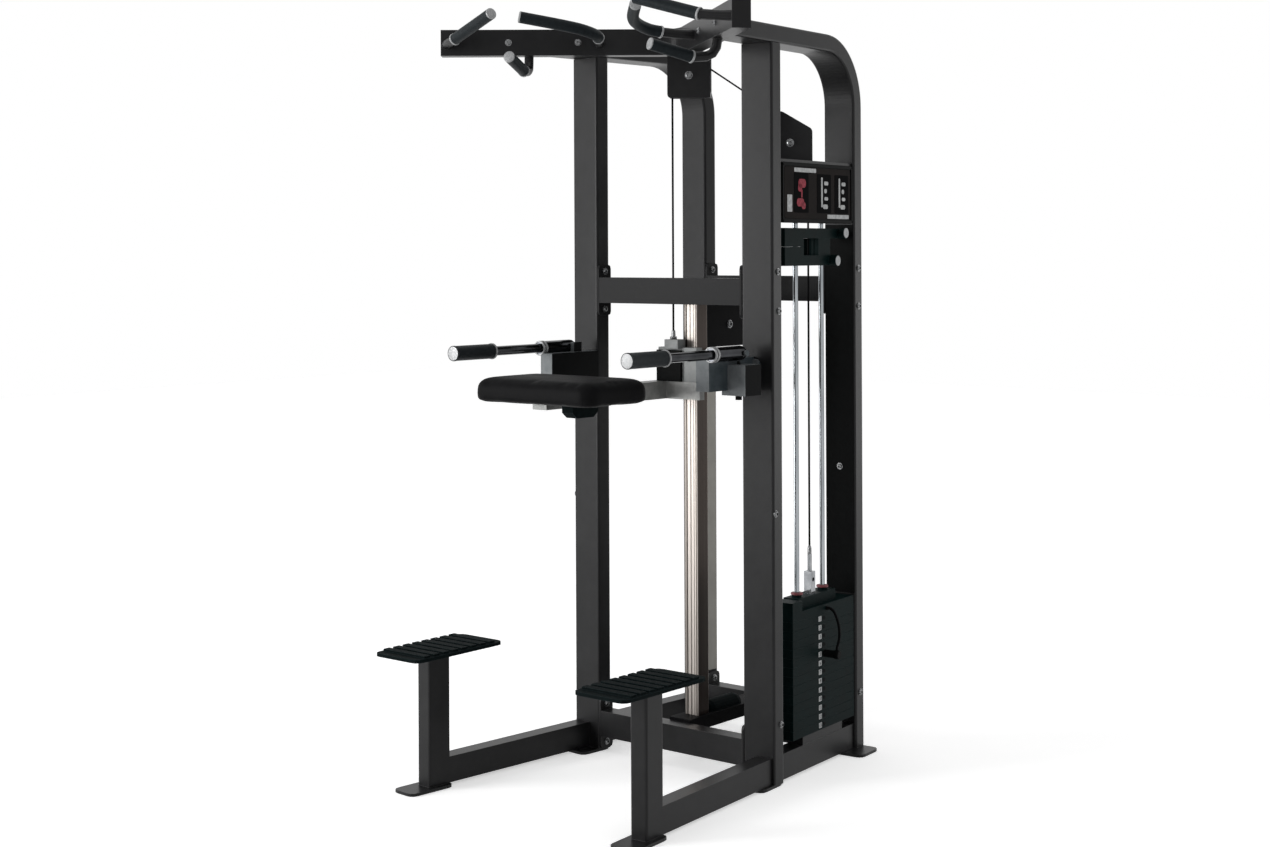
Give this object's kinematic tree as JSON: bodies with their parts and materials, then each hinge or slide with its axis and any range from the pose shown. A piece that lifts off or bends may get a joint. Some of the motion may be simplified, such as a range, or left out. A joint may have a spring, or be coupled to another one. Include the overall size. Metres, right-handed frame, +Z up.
{
  "type": "assisted chin-up dip machine",
  "caption": "Black steel chin-up and dip frame with a counterweighted knee pad on a guide column, folding dip arms and a pin-selected weight stack.",
  "frame": {"origin": "on the floor under the middle of the machine's bounding box", "axes": "+Z up, +Y to the rear, +X to the weight stack's side"},
  "size_m": [1.1138, 1.2582, 2.1569],
  "materials": {
    "frame_paint": "satin black powder coat",
    "rubber_black": "ribbed matte",
    "grip_rubber": "matte",
    "roller_rubber": "smooth",
    "column_aluminium": "polished",
    "chrome": "polished",
    "stack_paint": "semi-gloss black",
    "grey_paint": "satin grey",
    "black_plastic": "satin",
    "cable_sheath": "smooth black sheath",
    "vinyl": "smooth black vinyl"
  },
  "bodies": {
    "frame": {"front_upright_left": "frame_paint", "front_upright_right": "frame_paint", "hoop_left": "frame_paint", "hoop_right": "frame_paint", "step_frame_left": "frame_paint", "step_frame_right": "frame_paint", "rear_floor_rail_left": "frame_paint", "rear_floor_rail_right": "frame_paint", "crossbar_front_middle": "frame_paint", "crossbar_rear_middle": "frame_paint", "crossbar_front_bottom": "frame_paint", "crossbar_rear_bottom": "frame_paint", "chin_up_beam": "frame_paint", "column_base": "frame_paint", "column_rear_brace": "frame_paint", "top_pulley_housing": "frame_paint", "stack_pulley_housing": "frame_paint", "stack_base_bar": "frame_paint", "tower_top_bar": "frame_paint", "step_tread_left": "rubber_black", "step_tread_right": "rubber_black", "base_bumper": "rubber_black", "chin_grip_end_left": "grip_rubber", "chin_grip_end_right": "grip_rubber", "chin_grip_under_left": "grip_rubber", "chin_grip_under_right": "grip_rubber", "chin_grip_inner_left": "grip_rubber", "chin_grip_inner_right": "grip_rubber", "guide_column": "column_aluminium", "guide_rod_front": "chrome", "guide_rod_rear": "chrome", "resting_weight_plates": "stack_paint", "dip_bracket_left": "grey_paint", "dip_bracket_right": "grey_paint", "instruction_placard": "black_plastic", "cable_to_carriage": "cable_sheath", "cable_over_pulleys": "cable_sheath", "cable_to_stack": "cable_sheath"},
    "stack": {"stack_top_plate": "stack_paint", "lifted_weight_plates": "stack_paint", "selector_lanyard": "cable_sheath"},
    "selector": {"selector_pin": "black_plastic"},
    "carriage": {"carriage_shell": "grey_paint", "carriage_cover": "black_plastic", "carriage_arm": "chrome", "knee_pad_support": "grey_paint", "knee_pad": "vinyl", "knee_pad_bumper": "rubber_black"},
    "front_roller": {"guide_roller_front": "roller_rubber"},
    "rear_roller": {"guide_roller_rear": "roller_rubber"},
    "add_on_weights": {"add_on_weight_upper": "stack_paint", "add_on_weight_lower": "stack_paint"},
    "top_wheel": {"top_pulley": "black_plastic"},
    "stack_wheel": {"stack_pulley": "black_plastic"},
    "left_dip": {"dip_arm_left": "chrome", "dip_grip_left": "grip_rubber"},
    "right_dip": {"dip_arm_right": "chrome", "dip_grip_right": "grip_rubber"},
    "left_lock": {"dip_lock_pin_left": "black_plastic"},
    "right_lock": {"dip_lock_pin_right": "black_plastic"}
  },
  "joints": [
    {"name": "stack_lift", "type": "slide", "parent": "frame", "child": "stack", "axis": [0, 0, 1], "range_m": [0, 0.78], "deforming": ["cable_to_stack"]},
    {"name": "carriage_travel", "type": "slide", "parent": "frame", "child": "carriage", "axis": [0, 0, -1], "range_m": [0, 0.78], "deforming": ["cable_to_carriage"]},
    {"name": "selector_pin_pull", "type": "slide", "parent": "stack", "child": "selector", "axis": [0.9962, 0.0872, 0], "range_m": [0, 0.09]},
    {"name": "add_on_weight_drop", "type": "slide", "parent": "frame", "child": "add_on_weights", "axis": [0, 0, -1], "range_m": [0, 0.145]},
    {"name": "top_pulley_spin", "type": "hinge", "parent": "frame", "child": "top_wheel", "pos_m": [0, 0.20758, 1.9895], "axis": [0.5311, -0.8473, 0], "continuous": true},
    {"name": "stack_pulley_spin", "type": "hinge", "parent": "frame", "child": "stack_wheel", "pos_m": [0.24806, 0.36308, 1.79], "axis": [0.5311, -0.8473, 0], "continuous": true},
    {"name": "front_roller_spin", "type": "hinge", "parent": "carriage", "child": "front_roller", "pos_m": [0, 0.19458, 1.1455], "axis": [1, 0, 0], "continuous": true},
    {"name": "rear_roller_spin", "type": "hinge", "parent": "carriage", "child": "rear_roller", "pos_m": [0, 0.26658, 1.1455], "axis": [1, 0, 0], "continuous": true},
    {"name": "left_dip_arm_fold", "type": "hinge", "parent": "frame", "child": "left_dip", "pos_m": [-0.312, 0.02558, 1.2], "axis": [-1, 0, 0], "range_deg": [0, 90]},
    {"name": "left_lock_pin_pull", "type": "slide", "parent": "frame", "child": "left_lock", "axis": [0, 0, -1], "range_m": [0, 0.012], "stiffness_N_per_m": 400, "springref_m": -0.01},
    {"name": "right_dip_arm_fold", "type": "hinge", "parent": "frame", "child": "right_dip", "pos_m": [0.312, 0.02558, 1.2], "axis": [-1, 0, 0], "range_deg": [0, 90]},
    {"name": "right_lock_pin_pull", "type": "slide", "parent": "frame", "child": "right_lock", "axis": [0, 0, -1], "range_m": [0, 0.012], "stiffness_N_per_m": 400, "springref_m": -0.01}
  ],
  "couplings": [
    {"joint": "carriage_travel", "follows": "stack_lift", "ratio": 1},
    {"joint": "top_pulley_spin", "follows": "stack_lift", "rad_per_m": 20},
    {"joint": "stack_pulley_spin", "follows": "stack_lift", "rad_per_m": 20}
  ]
}
